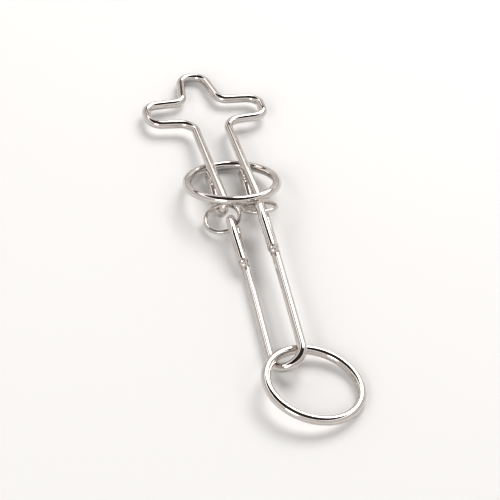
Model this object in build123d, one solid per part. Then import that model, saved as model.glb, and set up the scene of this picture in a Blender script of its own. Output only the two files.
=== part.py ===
from build123d import *
import os
from math import asin, cos, degrees, radians, sin, sqrt

# A wire disentanglement puzzle lying on a table: a cross-headed frame joined by two small
# link rings to a long U shackle, one loose ring round the frame's legs and one ring on the
# shackle's bend. Millimetres. +Z is up and +Y runs from the end ring towards the cross.
# The origin is the centre of the whole puzzle's footprint, on the table.

# Wire and rings
wire_d = 3.0            # both bent pieces and both large rings
link_wire_d = 1.35      # the two small link rings
ring_line_d = 30.0      # large rings, along the centre of the wire
link_line_d = 11.5      # link rings, along the centre of the wire

# Eyes: each leg's wire turns back on itself and is brazed to the leg
eye_width = 5.3         # between the centres of the two strands
eye_straight = 5.0      # parallel part of the return strand
eye_length = 17.0       # from the middle of the eye's bend to the end of the return strand
eye_knee_r = 16.0       # where the return strand starts to close on the leg
strand_gap = 0.06       # left between the return strand's end and the leg

# Braze: the lump of filler at the end of each return strand
braze_length = 6.4
braze_r = 1.95
braze_end_r = 0.5
braze_setback = 1.6     # its middle is this far inside the end of the return strand

# Cross-headed frame: centre line of the wire in the frame's own plane, +Y towards the top,
# measured from the middle of the eyes' bends. Each corner is the meeting of two straight runs.
leg_half = 5.8
arm_half = 20.4
lobe_half = 6.6
lobe_top_half = 4.0
arm_low_y = 43.6
arm_low_rise = 1.2
arm_high_y = 56.5
arm_high_drop = 0.7
lobe_top_y = 71.4
neck_r = 5.5
arm_r = 4.5
lobe_foot_r = 3.7
lobe_top_r = 4.7
frame_eye_lean = 12.0   # degrees the eyes lean from upright, with the return strand below

# Shackle
shackle_half = 5.36   # half the distance between the legs' centre lines
shackle_leg = 59.4   # from the eyes' bends to the start of the U bend
shackle_eye_lean = 4.7

# How the pieces lie. Angles in degrees: yaw about Z, pitch about X, roll about Y.
frame_eye_y = 0.6       # where the frame's eyes lie
shackle_at = (0.99, -10.35)
shackle_yaw = -3.8
shackle_pitch = -0.2
shackle_roll = -31.2
sliding_ring_at = (-0.85, 9.2)
sliding_ring_pitch = -18.0
sliding_ring_roll = -0.6
end_ring_at = (2.17, -83.12)
end_ring_pitch = 0.6
end_ring_roll = 8.5
left_link_lean = 18.0    # the link rings' -X sides hang lower
right_link_lean = 3.3
left_link_insets = (0.06, 0.27)  # how far inside the eyes' bends it passes: frame, shackle
right_link_insets = (-0.3, -0.3)

wire_r = wire_d / 2
eye_r = eye_width / 2


def lying(piece, at, yaw, pitch, roll):
    # Where a piece lies: rolled about Y, pitched about X, yawed about Z and moved to at, with
    # its lowest point on the table.
    turn = Rot(0, 0, yaw) * Rot(pitch, 0, 0) * Rot(0, roll, 0)
    low = (turn * piece).bounding_box().min.Z
    return Pos(at[0], at[1], -low) * turn


def wire_along(path):
    section = Plane(origin=path @ 0, z_dir=path % 0) * Circle(wire_r)
    return sweep(section, path=path)


def eye_side(lean):
    # Unit direction from the leg across to the return strand, at right angles to the leg.
    return Vector(sin(radians(lean)), 0, cos(radians(lean)))


def eye_edges(leg_x, tip, side):
    # The return strand and the half-round bend at the end of one leg. The strand starts at
    # its brazed end and the bend finishes on the leg. tip is +1 or -1, the way the eye points.
    leg = Vector(leg_x, 0, 0)
    along = Vector(0, -tip, 0)
    brazed_end = leg + along * eye_length + side * (wire_d + strand_gap)
    knee = leg + along * eye_straight + side * eye_width
    bend_start = leg + side * eye_width
    bend_middle = leg - along * eye_r + side * eye_r
    strand = FilletPolyline(brazed_end, knee, bend_start, radius=eye_knee_r)
    return strand.edges() + ShapeList([ThreePointArc(bend_start, bend_middle, leg)])


def eye_pivot(leg_x, tip, side, inset):
    # Where a link ring passes through the eye.
    return Vector(leg_x, -tip * inset, 0) + side * eye_r


def braze_lump(leg_x, tip, side, wire):
    # A short spindle of filler over the end of the return strand, less the wire it grips.
    half = braze_length / 2
    outline = make_face([
        Line((-half, 0), (-half, braze_end_r)),
        ThreePointArc((-half, braze_end_r), (0, braze_r), (half, braze_end_r)),
        Line((half, braze_end_r), (half, 0)),
        Line((half, 0), (-half, 0)),
    ])
    spindle = revolve(outline, axis=Axis.X)
    middle = Vector(leg_x, -tip * (eye_length - braze_setback), 0) + side * wire_r
    place = Plane(origin=middle, x_dir=(0, 1, 0), z_dir=side)
    lump = place * spindle - wire
    return max(lump.solids(), key=lambda solid: solid.volume)


def cross_path():
    head = [
        (-arm_half, arm_low_y + arm_low_rise),
        (-arm_half, arm_high_y - arm_high_drop),
        (-lobe_half, arm_high_y),
        (-lobe_top_half, lobe_top_y),
    ]
    left_corners = [(-leg_half, 0), (-leg_half, arm_low_y)] + head
    right_corners = [(-x, y) for x, y in reversed(left_corners)]
    left_radii = [neck_r, arm_r, arm_r, lobe_foot_r, lobe_top_r]
    outline = FilletPolyline(left_corners + right_corners, radius=left_radii + left_radii[::-1])
    side = -eye_side(frame_eye_lean)
    edges = ShapeList(outline.edges())
    edges += eye_edges(-leg_half, -1, side) + eye_edges(leg_half, -1, side)
    return Wire(edges)


def shackle_path():
    bend_middle = (0, -shackle_leg - shackle_half, 0)
    side = eye_side(shackle_eye_lean)
    edges = ShapeList()
    for leg_x in (-shackle_half, shackle_half):
        edges += ShapeList([Line((leg_x, 0, 0), (leg_x, -shackle_leg, 0))])
        edges += eye_edges(leg_x, 1, side)
    bend_ends = [(x, -shackle_leg, 0) for x in (-shackle_half, shackle_half)]
    edges += ShapeList([ThreePointArc(bend_ends[0], bend_middle, bend_ends[1])])
    return Wire(edges)


def link_ring(frame_eye, shackle_eye, lean):
    # A small ring through the middles of two eyes. Any slack hangs out to the -X side.
    span = shackle_eye - frame_eye
    ahead = span.normalized()
    level = Vector(0, 0, 1).cross(ahead).normalized()
    if level.X > 0:
        level = -level
    up = ahead.cross(level)
    if up.Z < 0:
        up = -up
    out = level * cos(radians(lean)) - up * sin(radians(lean))
    slack = sqrt(max((link_line_d / 2) ** 2 - (span.length / 2) ** 2, 0))
    centre = frame_eye + span * 0.5 + out * slack
    place = Plane(origin=centre, z_dir=ahead.cross(out))
    return place * Torus(link_line_d / 2, link_wire_d / 2)


cross = wire_along(cross_path())
shackle = wire_along(shackle_path())
large_ring = Torus(ring_line_d / 2, wire_r)

# The frame rests on the top of the cross and on the return strands of its eyes.
frame_pitch = -degrees(asin(eye_width * cos(radians(frame_eye_lean)) / lobe_top_y))
frame_place = lying(cross, (0, frame_eye_y), 0, frame_pitch, 0)
shackle_place = lying(shackle, shackle_at, shackle_yaw, shackle_pitch, shackle_roll)
sliding_place = lying(large_ring, sliding_ring_at, 0, sliding_ring_pitch, sliding_ring_roll)
end_place = lying(large_ring, end_ring_at, 0, end_ring_pitch, end_ring_roll)

pieces = {
    "cross_frame": frame_place * cross,
    "shackle": shackle_place * shackle,
    "sliding_ring": sliding_place * large_ring,
    "end_ring": end_place * large_ring,
}
pivots = {}
frame_side = -eye_side(frame_eye_lean)
shackle_side = eye_side(shackle_eye_lean)
links = (
    ("left", -1, left_link_lean, left_link_insets),
    ("right", 1, right_link_lean, right_link_insets),
)
for name, way, lean, insets in links:
    lump = braze_lump(way * leg_half, -1, frame_side, cross)
    pieces["frame_braze_" + name] = frame_place * lump
    lump = braze_lump(way * shackle_half, 1, shackle_side, shackle)
    pieces["shackle_braze_" + name] = shackle_place * lump
    frame_pivot = eye_pivot(way * leg_half, -1, frame_side, insets[0])
    shackle_pivot = eye_pivot(way * shackle_half, 1, shackle_side, insets[1])
    eyes = [(frame_place * Pos(*frame_pivot)).position]
    eyes.append((shackle_place * Pos(*shackle_pivot)).position)
    pieces["link_ring_" + name] = link_ring(*eyes, lean)
    pivots["frame_eye_" + name] = eyes[0]
    pivots["shackle_eye_" + name] = eyes[1]
    print(name, "link ring spans", round((eyes[1] - eyes[0]).length, 3), "of", link_line_d)

# Move the whole puzzle so that the origin is the middle of its footprint, on the table.
box = Compound(children=[Compound(piece.solids()) for piece in pieces.values()]).bounding_box()
shift = Vector(-(box.min.X + box.max.X) / 2, -(box.min.Y + box.max.Y) / 2, -box.min.Z)

os.makedirs("parts", exist_ok=True)
for name, piece in pieces.items():
    placed = Pos(*shift) * piece
    placed.label = name
    export_step(placed, "parts/" + name + ".step")
print("whole size", box.size)
for name, pivot in pivots.items():
    print(name, pivot + shift)
print("frame legs run along", (frame_place * Pos(0, 1, 0)).position - frame_place.position)
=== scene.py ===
import math

import bpy
import numpy as np
from mathutils import Matrix, Vector


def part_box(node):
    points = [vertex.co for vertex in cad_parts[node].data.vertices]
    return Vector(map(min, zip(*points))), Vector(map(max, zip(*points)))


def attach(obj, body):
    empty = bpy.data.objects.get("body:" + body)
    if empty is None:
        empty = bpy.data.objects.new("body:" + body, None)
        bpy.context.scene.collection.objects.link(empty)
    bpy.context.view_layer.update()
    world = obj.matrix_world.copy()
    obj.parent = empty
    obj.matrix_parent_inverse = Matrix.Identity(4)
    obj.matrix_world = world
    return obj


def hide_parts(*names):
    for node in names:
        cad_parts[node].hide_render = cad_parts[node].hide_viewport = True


# Looks for a bent-wire disentanglement puzzle in bright nickel plate. Metres, in the CAD frame.
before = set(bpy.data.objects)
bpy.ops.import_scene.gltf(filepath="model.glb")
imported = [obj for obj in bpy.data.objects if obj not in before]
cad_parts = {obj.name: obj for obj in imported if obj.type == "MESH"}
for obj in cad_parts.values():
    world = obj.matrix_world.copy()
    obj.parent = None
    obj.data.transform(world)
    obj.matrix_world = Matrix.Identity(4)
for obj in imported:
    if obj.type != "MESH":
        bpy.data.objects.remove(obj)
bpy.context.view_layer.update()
bpy.ops.object.select_all(action="DESELECT")

mm = 0.001
degree = math.pi / 180
mergeGap = 0.001 * mm    # points closer than this are one


# Small helpers for the bench work.

def editMode(on):
    bpy.ops.object.mode_set(mode="EDIT" if on else "OBJECT")


def finishShape(piece, angle):
    # Merge, point the faces outwards and smooth all but the sharpest edges.
    editMode(True)
    bpy.ops.mesh.select_all(action="SELECT")
    bpy.ops.mesh.remove_doubles(threshold=mergeGap)
    bpy.ops.mesh.normals_make_consistent(inside=False)
    editMode(False)
    bpy.ops.object.shade_smooth_by_angle(angle=angle * degree)


def applyAll(piece):
    bpy.ops.object.select_all(action="DESELECT")
    piece.select_set(True)
    bpy.context.view_layer.objects.active = piece
    bpy.ops.object.transform_apply(location=True, rotation=True, scale=True)


def layDown(piece, turn, node):
    # Turn the piece as it lies, then put it where its CAD node is.
    piece.matrix_world = turn
    applyAll(piece)
    low, high = meshBox(piece)
    nodeLow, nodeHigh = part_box(node)
    piece.location = (nodeLow + nodeHigh - low - high) / 2
    applyAll(piece)
    slack = ((nodeHigh - nodeLow) - (high - low)).length / mm
    print(piece.name, "laid down,", round(slack, 3), "mm from its CAD size")


def meshBox(piece):
    points = np.array([v.co for v in piece.data.vertices])
    return Vector(points.min(0)), Vector(points.max(0))


# Bending wire: an open circle is drawn out along straight runs and spun round bends.
wireSides = 36
thinSides = 24           # for the link rings
bendStep = 5 * degree
fewestSteps = 3


def startWire(name, at, heading, radius, sides):
    turn = Vector(heading).to_track_quat("Z", "Y").to_euler()
    bpy.ops.mesh.primitive_circle_add(vertices=sides, radius=radius, location=at, rotation=turn)
    piece = bpy.context.object
    piece.name = name
    piece.data.name = name
    applyAll(piece)
    editMode(True)
    bpy.ops.mesh.select_all(action="SELECT")
    return piece


def runWire(move):
    bpy.ops.mesh.extrude_region_move(
        TRANSFORM_OT_translate={"value": tuple(move), "orient_type": "GLOBAL"})


def bendWire(centre, axis, angle):
    # The spin tool turns the other way to a right-handed angle.
    steps = max(fewestSteps, round(angle / bendStep))
    bpy.ops.mesh.spin(steps=steps, angle=-angle, center=tuple(centre), axis=tuple(axis))


def scaleEnd(share, centre):
    bpy.ops.transform.resize(value=(share, share, share), center_override=tuple(centre))


def cutEnds(piece):
    # Close both open ends of the wire with a face.
    editMode(True)
    bpy.ops.mesh.select_all(action="DESELECT")
    bpy.ops.mesh.select_non_manifold(extend=False, use_boundary=True)
    bpy.ops.mesh.edge_face_add()
    editMode(False)


def cornerSteps(corners, radii):
    # Straight runs and bends through a list of corners, each rounded to its own radius.
    steps = []
    at = corners[0]
    for corner, after, radius in zip(corners[1:-1], corners[2:], radii):
        incoming = (corner - at).normalized()
        outgoing = (after - corner).normalized()
        turn = incoming.angle(outgoing)
        setback = radius * math.tan(turn / 2)
        axis = incoming.cross(outgoing).normalized()
        begin = corner - incoming * setback
        centre = begin + axis.cross(incoming) * radius
        steps.append(("run", begin - at))
        steps.append(("bend", centre, axis, turn))
        at = corner + outgoing * setback
    steps.append(("run", corners[-1] - at))
    return steps


def followSteps(steps):
    for step in steps:
        if step[0] == "run":
            runWire(step[1])
        else:
            bendWire(*step[1:])


def measureWire(piece, sides):
    # Leaves each point's place on the straightened wire as an attribute for the materials:
    # X and Y round the section, Z along the length.
    points = np.array([v.co for v in piece.data.vertices]).reshape(-1, sides, 3)
    middles = points.mean(1)
    along = np.r_[0, np.cumsum(np.linalg.norm(np.diff(middles, axis=0), axis=1))]
    radius = np.linalg.norm(points - middles[:, None], axis=2)
    around = np.linspace(0, 2 * np.pi, sides, endpoint=False)
    coords = np.stack([
        radius * np.cos(around),
        radius * np.sin(around),
        np.repeat(along[:, None], sides, axis=1),
    ], axis=2)
    layer = piece.data.attributes.new("wireCoord", "FLOAT_VECTOR", "POINT")
    layer.data.foreach_set("vector", coords.astype(np.float32).ravel())


# The eye at the end of a leg.
eye = {
    "width": 5.3 * mm,       # between the two strands' centre lines
    "straight": 5.0 * mm,    # parallel part of the return strand
    "length": 17.0 * mm,     # from the bend to the cut end
    "kneeRadius": 16.0 * mm,
    "gap": 0.06 * mm,
    "endBreak": 0.25 * mm,   # broken edge of the cut end
    "smoothTo": 40,          # edges flatter than this, in degrees, are shaded smooth
}


def eyeSide(lean):
    return Vector((math.sin(lean * degree), 0, math.cos(lean * degree)))


def eyeSteps(leg, tip, side, wire):
    # From the cut end of the return strand round the eye to the leg. tip is the way the eye
    # points along Y, and side the way from the leg to the return strand.
    along = Vector((0, -tip, 0))
    cutEnd = leg + along * eye["length"] + side * (wire + eye["gap"])
    knee = leg + along * eye["straight"] + side * eye["width"]
    bendStart = leg + side * eye["width"]
    steps = cornerSteps([cutEnd, knee, bendStart], [eye["kneeRadius"]])
    centre = leg + side * eye["width"] / 2
    toLeg = (-side).cross(Vector((0, tip, 0)))
    steps.append(("bend", centre, -toLeg, math.pi))
    return cutEnd, steps


def reverseSteps(steps):
    turned = []
    for step in reversed(steps):
        if step[0] == "run":
            turned.append(("run", -step[1]))
        else:
            turned.append(("bend", step[1], -step[2], step[3]))
    return turned


def drawLoopedWire(name, wire, leftEye, middle, rightEye):
    # One wire: left eye, the middle of the piece, right eye.
    cutEnd, steps = leftEye
    first = steps[0][1].normalized()
    small = 1 - 2 * eye["endBreak"] / wire
    piece = startWire(name, cutEnd, first, wire / 2 * small, wireSides)
    runWire(first * eye["endBreak"])
    scaleEnd(1 / small, cutEnd + first * eye["endBreak"])
    steps[0] = ("run", steps[0][1] - first * eye["endBreak"])
    followSteps(steps)
    followSteps(middle)
    otherEnd, otherSteps = rightEye
    closing = reverseSteps(otherSteps)
    last = closing[-1][1].normalized()
    closing[-1] = ("run", closing[-1][1] - last * eye["endBreak"])
    followSteps(closing)
    runWire(last * eye["endBreak"])
    scaleEnd(small, otherEnd)
    editMode(False)
    measureWire(piece, wireSides)
    cutEnds(piece)
    finishShape(piece, eye["smoothTo"])
    return piece


# Cross-headed frame.
cross = {
    "wire": 3.0 * mm,
    "legHalf": 5.8 * mm,
    "armHalf": 20.4 * mm,
    "lobeHalf": 6.6 * mm,
    "lobeTopHalf": 4.0 * mm,
    "armLowY": 43.6 * mm,
    "armLowRise": 1.2 * mm,
    "armHighY": 56.5 * mm,
    "armHighDrop": 0.7 * mm,
    "lobeTopY": 71.4 * mm,
    "radii": [5.5 * mm, 4.5 * mm, 4.5 * mm, 3.7 * mm, 4.7 * mm],
    "eyeLean": 12.0,
}


def buildCross():
    c = cross
    left = [
        (-c["legHalf"], 0),
        (-c["legHalf"], c["armLowY"]),
        (-c["armHalf"], c["armLowY"] + c["armLowRise"]),
        (-c["armHalf"], c["armHighY"] - c["armHighDrop"]),
        (-c["lobeHalf"], c["armHighY"]),
        (-c["lobeTopHalf"], c["lobeTopY"]),
    ]
    outline = left + [(-x, y) for x, y in reversed(left)]
    corners = [Vector((x, y, 0)) for x, y in outline]
    side = -eyeSide(c["eyeLean"])
    piece = drawLoopedWire(
        "frameWire", c["wire"],
        eyeSteps(Vector((-c["legHalf"], 0, 0)), -1, side, c["wire"]),
        cornerSteps(corners, c["radii"] + c["radii"][::-1]),
        eyeSteps(Vector((c["legHalf"], 0, 0)), -1, side, c["wire"]),
    )
    return piece, crossTurn()


def crossTurn():
    drop = eye["width"] * math.cos(cross["eyeLean"] * degree)
    return Matrix.Rotation(-math.asin(drop / cross["lobeTopY"]), 4, "X")


# Shackle.
shackle = {
    "wire": 3.0 * mm,
    "half": 5.36 * mm,
    "leg": 59.4 * mm,
    "eyeLean": 4.7,
    "yaw": -3.8,
    "pitch": -0.2,
    "roll": -31.2,
}


def buildShackle():
    s = shackle
    side = eyeSide(s["eyeLean"])
    down = Vector((0, -s["leg"], 0))
    middle = [
        ("run", down),
        ("bend", down, Vector((0, 0, 1)), math.pi),
        ("run", -down),
    ]
    piece = drawLoopedWire(
        "shackleWire", s["wire"],
        eyeSteps(Vector((-s["half"], 0, 0)), 1, side, s["wire"]),
        middle,
        eyeSteps(Vector((s["half"], 0, 0)), 1, side, s["wire"]),
    )
    return piece, shackleTurn()


def shackleTurn():
    s = shackle
    yaw = Matrix.Rotation(s["yaw"] * degree, 4, "Z")
    pitch = Matrix.Rotation(s["pitch"] * degree, 4, "X")
    return yaw @ pitch @ Matrix.Rotation(s["roll"] * degree, 4, "Y")


# Rings: a section spun right round, with a joint where the wire meets itself.
ring = {
    "wire": 3.0 * mm,
    "line": 30.0 * mm,       # across, between the wire's centre lines
    "sides": wireSides,
    "steps": 240,
    "jointSwell": 1.022,     # the weld stands a hair proud of the wire
    "jointHalf": 0.55 * mm,
}
linkRing = {
    "wire": 1.35 * mm,
    "line": 11.5 * mm,
    "sides": thinSides,
    "steps": 144,
    "jointSwell": 0.93,      # the butted ends leave a fine groove
    "jointHalf": 0.12 * mm,
}
jointAt = {                  # where each joint lies round its ring, in degrees
    "sliding_ring": 100,
    "end_ring": 115,
    "link_ring_left": 200,
    "link_ring_right": 200,
}
ringSmoothTo = 60


def ringTurn(node):
    # The ring's own plane, from the way its CAD node lies.
    points = np.array([v.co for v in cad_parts[node].data.vertices])
    spread = np.linalg.svd(points - points.mean(0), full_matrices=False)[2]
    normal = Vector(spread[2])
    if normal.z < 0:
        normal = -normal
    return normal.to_track_quat("Z", "Y").to_matrix().to_4x4()


def buildRing(name, r, node):
    half = r["line"] / 2
    piece = startWire(name, (half, 0, 0), (0, 1, 0), r["wire"] / 2, r["sides"])
    bpy.ops.mesh.spin(steps=r["steps"], angle=2 * math.pi, center=(0, 0, 0), axis=(0, 0, 1))
    editMode(False)
    measureWire(piece, r["sides"])
    editMode(True)
    bpy.ops.mesh.select_all(action="DESELECT")
    editMode(False)
    for v in piece.data.vertices:
        v.select = v.co.x > 0 and abs(v.co.y) < r["jointHalf"]
    editMode(True)
    bpy.ops.transform.resize(value=(r["jointSwell"], 1, r["jointSwell"]),
                             center_override=(half, 0, 0))
    editMode(False)
    finishShape(piece, ringSmoothTo)
    layDown(piece, ringTurn(node) @ Matrix.Rotation(jointAt[node] * degree, 4, "Z"), node)
    return piece


# Braze: a soft lump of filler where the return strand meets the leg.
braze = {
    "setBack": 1.6 * mm,     # its middle is this far inside the cut end
    "lumps": [               # place along the leg and across it, half length, radius
        (0.0, 0.50, 3.2 * mm, 1.90 * mm),
        (-0.6 * mm, 0.06, 3.3 * mm, 1.66 * mm),
        (-1.9 * mm, 0.12, 1.6 * mm, 1.70 * mm),
        (0.9 * mm, 0.98, 3.4 * mm, 1.66 * mm),
        (1.9 * mm, 0.62, 1.3 * mm, 1.75 * mm),
    ],
    "segments": 32,
    "rings": 20,
    "voxel": 0.13 * mm,
    "flow": 0.6,
    "flowPasses": 10,
    "smoothTo": 180,
}


def buildBraze(name, legX, tip, side, wire, turn, origin):
    # tip is the way the eye points along Y.
    b = braze
    middle = Vector((legX, -tip * (eye["length"] - b["setBack"]), 0))
    bpy.ops.object.select_all(action="DESELECT")
    made = []
    for along, across, halfLength, radius in b["lumps"]:
        at = middle + Vector((0, tip * along, 0)) + side * wire * across
        bpy.ops.mesh.primitive_uv_sphere_add(
            segments=b["segments"], ring_count=b["rings"], radius=1, location=at)
        lump = bpy.context.object
        lump.scale = (radius, halfLength, radius)
        made.append(lump)
    for lump in made:
        lump.select_set(True)
    bpy.context.view_layer.objects.active = made[0]
    bpy.ops.object.transform_apply(location=True, rotation=True, scale=True)
    bpy.ops.object.join()
    piece = bpy.context.object
    piece.name = name
    piece.data.name = name
    remesh = piece.modifiers.new("melt", "REMESH")
    remesh.mode = "VOXEL"
    remesh.voxel_size = b["voxel"]
    bpy.ops.object.modifier_apply(modifier="melt")
    flow = piece.modifiers.new("flow", "SMOOTH")
    flow.factor = b["flow"]
    flow.iterations = b["flowPasses"]
    bpy.ops.object.modifier_apply(modifier="flow")
    piece.matrix_world = turn
    applyAll(piece)
    piece.location = origin
    applyAll(piece)
    finishShape(piece, b["smoothTo"])
    return piece


# Materials.

def newGroup(name, inputs, outputs):
    tree = bpy.data.node_groups.new(name, "ShaderNodeTree")
    for label, kind, value in inputs:
        socket = tree.interface.new_socket(name=label, in_out="INPUT", socket_type=kind)
        if value is not None:
            socket.default_value = value
    for label, kind in outputs:
        tree.interface.new_socket(name=label, in_out="OUTPUT", socket_type=kind)
    return tree, tree.nodes.new("NodeGroupInput"), tree.nodes.new("NodeGroupOutput")


def noiseNode(tree, vector, scale, detail, roughness=0.5):
    node = tree.nodes.new("ShaderNodeTexNoise")
    node.inputs["Detail"].default_value = detail
    node.inputs["Roughness"].default_value = roughness
    if isinstance(scale, (int, float)):
        node.inputs["Scale"].default_value = scale
    else:
        tree.links.new(scale, node.inputs["Scale"])
    tree.links.new(vector, node.inputs["Vector"])
    return node.outputs["Fac"]


def rangeNode(tree, value, low, high, toLow, toHigh):
    node = tree.nodes.new("ShaderNodeMapRange")
    node.interpolation_type = "SMOOTHSTEP"
    ends = {"From Min": low, "From Max": high, "To Min": toLow, "To Max": toHigh}
    for label, amount in ends.items():
        node.inputs[label].default_value = amount
    tree.links.new(value, node.inputs["Value"])
    return node.outputs["Result"]


def mathNode(tree, operation, first, second):
    node = tree.nodes.new("ShaderNodeMath")
    node.operation = operation
    for socket, value in zip(node.inputs, (first, second)):
        if isinstance(value, (int, float)):
            socket.default_value = value
        else:
            tree.links.new(value, socket)
    return node.outputs[0]


def mixColour(tree, share, first, second):
    node = tree.nodes.new("ShaderNodeMix")
    node.data_type = "RGBA"
    tree.links.new(share, node.inputs["Factor"])
    for socket, value in ((node.inputs["A"], first), (node.inputs["B"], second)):
        if isinstance(value, tuple):
            socket.default_value = value
        else:
            tree.links.new(value, socket)
    return node.outputs["Result"]


# Noise scales are in cycles to the metre.
lineMarks = {
    "fineness": 5200.0,
    "stretch": (1, 1, 0.03),     # long along the wire
    "detail": 3,
    "roughness": 0.6,
    "patchScale": 260,
    "patchDetail": 2,
    "patchEdges": (0.42, 0.62, 0.15, 1),
}
handMarks = {
    "size": 190.0,
    "smudgeDetail": 5,
    "smudgeRoughness": 0.62,
    "smudgeEdges": (0.46, 0.7, 0, 1),
    "cloudScale": 65,
    "cloudEdges": (0.35, 0.65, 0, 1),
    "grainScale": 9000,
    "detail": 2,
}
hairlines = {
    "turns": ((0.5, 0.2, 0.9), (-0.8, 1.1, -0.4)),
    "stretch": (1, 1, 0.05),
    "scale": 2600,
    "detail": 1,
    "edges": (0.66, 0.70, 0, 1),
}


def makeDrawnLines():
    # Fine lines left along the wire by the drawing die, on the straightened wire's coordinates.
    m = lineMarks
    tree, enter, leave = newGroup(
        "drawnLines",
        [("Coord", "NodeSocketVector", None), ("Fineness", "NodeSocketFloat", m["fineness"])],
        [("Lines", "NodeSocketFloat")],
    )
    stretch = tree.nodes.new("ShaderNodeVectorMath")
    stretch.operation = "MULTIPLY"
    stretch.inputs[1].default_value = m["stretch"]
    tree.links.new(enter.outputs["Coord"], stretch.inputs[0])
    lines = noiseNode(tree, stretch.outputs[0], enter.outputs["Fineness"], m["detail"],
                      m["roughness"])
    patches = noiseNode(tree, enter.outputs["Coord"], m["patchScale"], m["patchDetail"])
    mask = rangeNode(tree, patches, *m["patchEdges"])
    tree.links.new(mathNode(tree, "MULTIPLY", lines, mask), leave.inputs["Lines"])
    return tree


def makeHandling():
    # Smudges and faint rubbing from hands, in the object's own coordinates.
    m = handMarks
    tree, enter, leave = newGroup(
        "handling",
        [("Coord", "NodeSocketVector", None), ("Size", "NodeSocketFloat", m["size"])],
        [(label, "NodeSocketFloat") for label in ("Smudge", "Cloud", "Grain")],
    )
    smudge = noiseNode(tree, enter.outputs["Coord"], enter.outputs["Size"], m["smudgeDetail"],
                       m["smudgeRoughness"])
    cloud = noiseNode(tree, enter.outputs["Coord"], m["cloudScale"], m["detail"])
    grain = noiseNode(tree, enter.outputs["Coord"], m["grainScale"], m["detail"])
    tree.links.new(rangeNode(tree, smudge, *m["smudgeEdges"]), leave.inputs["Smudge"])
    tree.links.new(rangeNode(tree, cloud, *m["cloudEdges"]), leave.inputs["Cloud"])
    tree.links.new(grain, leave.inputs["Grain"])
    return tree


def makeScratches():
    # Hairline scratches in two crossing directions, with bare stretches between.
    m = hairlines
    tree, enter, leave = newGroup(
        "scratches",
        [("Coord", "NodeSocketVector", None)],
        [("Scratch", "NodeSocketFloat")],
    )
    found = []
    for turn in m["turns"]:
        place = tree.nodes.new("ShaderNodeMapping")
        place.inputs["Rotation"].default_value = turn
        place.inputs["Scale"].default_value = m["stretch"]
        tree.links.new(enter.outputs["Coord"], place.inputs["Vector"])
        noise = noiseNode(tree, place.outputs[0], m["scale"], m["detail"])
        found.append(rangeNode(tree, noise, *m["edges"]))
    tree.links.new(mathNode(tree, "MAXIMUM", found[0], found[1]), leave.inputs["Scratch"])
    return tree


drawnLines = makeDrawnLines()
handling = makeHandling()
scratches = makeScratches()


def addBump(tree, shader, height, strength, distance):
    bump = tree.nodes.new("ShaderNodeBump")
    bump.inputs["Strength"].default_value = strength
    bump.inputs["Distance"].default_value = distance
    tree.links.new(height, bump.inputs["Height"])
    tree.links.new(bump.outputs["Normal"], shader.inputs["Normal"])


def placeGroup(tree, group, vector, **values):
    node = tree.nodes.new("ShaderNodeGroup")
    node.node_tree = group
    tree.links.new(vector, node.inputs["Coord"])
    for label, value in values.items():
        node.inputs[label].default_value = value
    return node


nickel = {
    "bright": (0.66, 0.625, 0.60, 1),
    "warm": (0.61, 0.57, 0.54, 1),
    "dull": (0.50, 0.46, 0.43, 1),
    "dullShare": 0.35,       # how far a smudge takes the colour to dull
    "roughLow": 0.035,
    "roughSmudge": 0.10,
    "roughLines": 0.05,
    "roughScratch": 0.10,
    "scratchDepth": 0.8,     # against the drawn lines' height
    "grainHeight": 0.25,
    "bumpLines": 0.05,
    "bumpDistance": 0.02 * mm,
}


def platedWire(name, v, lineFineness, smudgeSize):
    material = bpy.data.materials.new(name)
    material.use_nodes = True
    tree = material.node_tree
    shader = tree.nodes["Principled BSDF"]
    shader.inputs["Metallic"].default_value = 1
    shader.inputs["IOR"].default_value = 1.5
    place = tree.nodes.new("ShaderNodeTexCoord").outputs["Object"]
    along = tree.nodes.new("ShaderNodeAttribute")
    along.attribute_name = "wireCoord"
    lines = placeGroup(tree, drawnLines, along.outputs["Vector"], Fineness=lineFineness)
    hands = placeGroup(tree, handling, place, Size=smudgeSize)
    marks = placeGroup(tree, scratches, place)
    colour = mixColour(tree, hands.outputs["Cloud"], v["bright"], v["warm"])
    worn = mathNode(tree, "MULTIPLY", hands.outputs["Smudge"], v["dullShare"])
    colour = mixColour(tree, worn, colour, v["dull"])
    tree.links.new(colour, shader.inputs["Base Color"])
    rough = mathNode(tree, "MULTIPLY", hands.outputs["Smudge"], v["roughSmudge"])
    lined = mathNode(tree, "MULTIPLY", lines.outputs["Lines"], v["roughLines"])
    scratched = mathNode(tree, "MULTIPLY", marks.outputs["Scratch"], v["roughScratch"])
    rough = mathNode(tree, "ADD", mathNode(tree, "ADD", rough, lined), scratched)
    tree.links.new(mathNode(tree, "ADD", rough, v["roughLow"]), shader.inputs["Roughness"])
    cuts = mathNode(tree, "MULTIPLY", marks.outputs["Scratch"], v["scratchDepth"])
    grain = mathNode(tree, "MULTIPLY", hands.outputs["Grain"], v["grainHeight"])
    height = mathNode(tree, "SUBTRACT", lines.outputs["Lines"], cuts)
    height = mathNode(tree, "ADD", height, grain)
    addBump(tree, shader, height, v["bumpLines"], v["bumpDistance"])
    return material


fillerMetal = {
    "bright": (0.64, 0.60, 0.57, 1),
    "pit": (0.30, 0.26, 0.23, 1),
    "roughLow": 0.10,
    "roughPit": 0.42,
    "roughSmudge": 0.16,
    "smudgeSize": 420.0,
    "rippleScale": 620,
    "rippleDetail": 3,
    "pitScale": 1500,
    "pitDetail": 2,
    "pitEdges": (0.60, 0.72, 0, 1),
    "pitDepth": 0.5,         # against the ripple's height
    "ripple": 0.35,
    "rippleDistance": 0.22 * mm,
}


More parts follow.
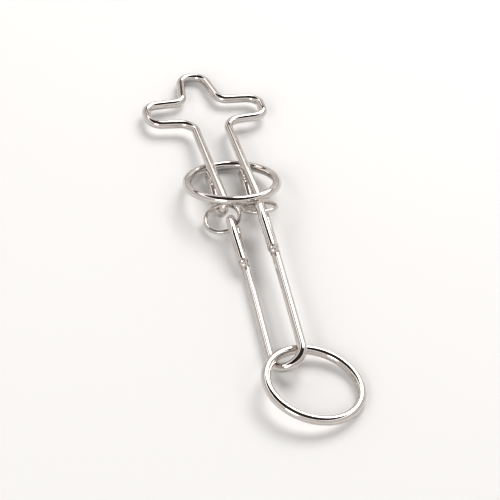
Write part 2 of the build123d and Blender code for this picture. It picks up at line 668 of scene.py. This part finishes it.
def platedFiller(name, v):
    material = bpy.data.materials.new(name)
    material.use_nodes = True
    tree = material.node_tree
    shader = tree.nodes["Principled BSDF"]
    shader.inputs["Metallic"].default_value = 1
    place = tree.nodes.new("ShaderNodeTexCoord").outputs["Object"]
    hands = placeGroup(tree, handling, place, Size=v["smudgeSize"])
    ripple = noiseNode(tree, place, v["rippleScale"], v["rippleDetail"])
    pits = noiseNode(tree, place, v["pitScale"], v["pitDetail"])
    pits = rangeNode(tree, pits, *v["pitEdges"])
    tree.links.new(mixColour(tree, pits, v["bright"], v["pit"]), shader.inputs["Base Color"])
    rough = mathNode(tree, "MULTIPLY", pits, v["roughPit"])
    smudge = mathNode(tree, "MULTIPLY", hands.outputs["Smudge"], v["roughSmudge"])
    rough = mathNode(tree, "ADD", mathNode(tree, "ADD", rough, smudge), v["roughLow"])
    tree.links.new(rough, shader.inputs["Roughness"])
    sunk = mathNode(tree, "MULTIPLY", pits, v["pitDepth"])
    height = mathNode(tree, "SUBTRACT", ripple, sunk)
    addBump(tree, shader, height, v["ripple"], v["rippleDistance"])
    return material


markScales = {               # fineness of the drawn lines, size of the smudges
    "wirePlate": (5200.0, 190.0),
    "ringPlate": (5200.0, 150.0),
    "linkPlate": (9000.0, 320.0),
}
wirePlate = platedWire("wirePlate", nickel, *markScales["wirePlate"])
ringPlate = platedWire("ringPlate", nickel, *markScales["ringPlate"])
linkPlate = platedWire("linkPlate", nickel, *markScales["linkPlate"])
fillerPlate = platedFiller("fillerPlate", fillerMetal)


def fitOut(piece, material, body, node):
    piece.data.materials.clear()
    piece.data.materials.append(material)
    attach(piece, body)
    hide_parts(node)


# Make the pieces.

def placeOf(build, node):
    # Where the piece's own origin ends up once its wire lies on its CAD node.
    piece, turn = build()
    probe = np.array([v.co for v in piece.data.vertices]) @ np.array(turn.to_3x3()).T
    low, high = Vector(probe.min(0)), Vector(probe.max(0))
    nodeLow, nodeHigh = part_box(node)
    origin = (nodeLow + nodeHigh - low - high) / 2
    layDown(piece, turn, node)
    return piece, turn, origin


frameWire, frameTurn, frameOrigin = placeOf(buildCross, "cross_frame")
fitOut(frameWire, wirePlate, "cross_frame", "cross_frame")
print("cross frame bent")
shackleWire, shackleLie, shackleOrigin = placeOf(buildShackle, "shackle")
fitOut(shackleWire, wirePlate, "shackle", "shackle")
print("shackle bent")

for word, way in (("Left", -1), ("Right", 1)):
    node = "frame_braze_" + word.lower()
    lump = buildBraze("frameBraze" + word, way * cross["legHalf"], -1,
                      -eyeSide(cross["eyeLean"]), cross["wire"], frameTurn, frameOrigin)
    fitOut(lump, fillerPlate, "cross_frame", node)
    node = "shackle_braze_" + word.lower()
    lump = buildBraze("shackleBraze" + word, way * shackle["half"], 1,
                      eyeSide(shackle["eyeLean"]), shackle["wire"], shackleLie, shackleOrigin)
    fitOut(lump, fillerPlate, "shackle", node)
print("brazes flowed")

slidingRing = buildRing("slidingRing", ring, "sliding_ring")
fitOut(slidingRing, ringPlate, "sliding_ring", "sliding_ring")
endRing = buildRing("endRing", ring, "end_ring")
fitOut(endRing, ringPlate, "end_ring", "end_ring")
for word in ("Left", "Right"):
    node = "link_ring_" + word.lower()
    link = buildRing("linkRing" + word, linkRing, node)
    fitOut(link, linkPlate, "link_" + word.lower(), node)
print("rings closed")


# Floor, lights and camera.
studio = {
    "floorSize": 6.0,
    "floorTone": (0.97, 0.97, 0.97, 1),
    "floorShade": (0.91, 0.91, 0.91, 1),
    "floorPatches": 3,
    "floorDetail": 2,
    "floorRough": 0.7,
    "floorSheen": 0.2,
    "keyPlace": (0.55, 0.75, 0.95),
    "keySize": 0.9,
    "keyPower": 11.0,
    "keyTint": (1, 0.98, 0.96),
    "fillPlace": (-0.9, -0.9, 0.7),
    "fillSize": 0.7,
    "fillPower": 6.0,
    "fillTint": (1, 0.985, 0.97),
    "target": (0.0, 0.0, 0.0),
    "rise": [                # world tone by the sine of the height above the horizon
        (0.00, (0.42, 0.40, 0.38, 1)),
        (0.18, (0.86, 0.83, 0.80, 1)),
        (0.40, (0.92, 0.89, 0.86, 1)),
        (0.44, (0.16, 0.13, 0.12, 1)),
        (0.52, (0.12, 0.10, 0.09, 1)),
        (0.56, (1.75, 1.73, 1.71, 1)),
        (0.67, (1.75, 1.73, 1.71, 1)),
        (0.715, (0.02, 0.016, 0.014, 1)),
        (0.93, (0.03, 0.024, 0.02, 1)),
        (0.995, (0.05, 0.04, 0.035, 1)),
    ],
}


def makeFloor():
    bpy.ops.mesh.primitive_plane_add(size=studio["floorSize"], location=(0, 0, 0))
    floor = bpy.context.object
    floor.name = "floor"
    material = bpy.data.materials.new("paleFloor")
    material.use_nodes = True
    tree = material.node_tree
    shader = tree.nodes["Principled BSDF"]
    place = tree.nodes.new("ShaderNodeTexCoord").outputs["Object"]
    patches = noiseNode(tree, place, studio["floorPatches"], studio["floorDetail"])
    tone = mixColour(tree, patches, studio["floorTone"], studio["floorShade"])
    tree.links.new(tone, shader.inputs["Base Color"])
    shader.inputs["Roughness"].default_value = studio["floorRough"]
    shader.inputs["Specular IOR Level"].default_value = studio["floorSheen"]
    floor.data.materials.append(material)


def makeLight(word):
    # word picks the light's values out of the studio's.
    place = studio[word + "Place"]
    bpy.ops.object.light_add(type="AREA", location=place)
    light = bpy.context.object
    light.name = word + "Light"
    light.data.shape = "DISK"
    light.data.size = studio[word + "Size"]
    light.data.energy = studio[word + "Power"]
    light.data.color = studio[word + "Tint"]
    aim = Vector(studio["target"]) - Vector(place)
    light.rotation_euler = aim.to_track_quat("-Z", "Y").to_euler()


def makeWorld():
    # A quiet studio: pale walls low down, a dark rail, a bright strip above it and a dark
    # ceiling. The tone goes by height only.
    world = bpy.data.worlds.new("studio")
    bpy.context.scene.world = world
    world.use_nodes = True
    tree = world.node_tree
    back = tree.nodes["Background"]
    split = tree.nodes.new("ShaderNodeSeparateXYZ")
    tree.links.new(tree.nodes.new("ShaderNodeTexCoord").outputs["Generated"], split.inputs[0])
    ramp = tree.nodes.new("ShaderNodeValToRGB")
    for place, tone in studio["rise"]:
        element = ramp.color_ramp.elements.new(place)
        element.color = tone
    ramp.color_ramp.elements.remove(ramp.color_ramp.elements[0])
    ramp.color_ramp.elements.remove(ramp.color_ramp.elements[-1])
    tree.links.new(split.outputs["Z"], ramp.inputs["Fac"])
    tree.links.new(ramp.outputs["Color"], back.inputs["Color"])


view = {
    "azimuth": -19.13,
    "elevation": 42.03,
    "roll": 7.2,
    "distance": 0.689,
    "lens": 152.3,
    "target": (-0.83 * mm, -4.47 * mm, 0),
    "sensor": 36,            # mm, as the lens is
    "clipStart": 0.01,
}


def makeCamera():
    a, e = view["azimuth"] * degree, view["elevation"] * degree
    back = Vector((math.sin(a) * math.cos(e), -math.cos(a) * math.cos(e), math.sin(e)))
    bpy.ops.object.camera_add(location=Vector(view["target"]) + back * view["distance"])
    camera = bpy.context.object
    camera.data.lens = view["lens"]
    camera.data.sensor_width = view["sensor"]
    camera.data.clip_start = view["clipStart"]
    camera.rotation_mode = "QUATERNION"
    level = (-back).to_track_quat("-Z", "Y")
    roll = Matrix.Rotation(view["roll"] * degree, 3, "Z").to_quaternion()
    camera.rotation_quaternion = level @ roll
    bpy.context.scene.camera = camera


makeFloor()
makeLight("key")
makeLight("fill")
makeWorld()
makeCamera()
bpy.context.scene.view_settings.view_transform = "Standard"
print("studio lit")
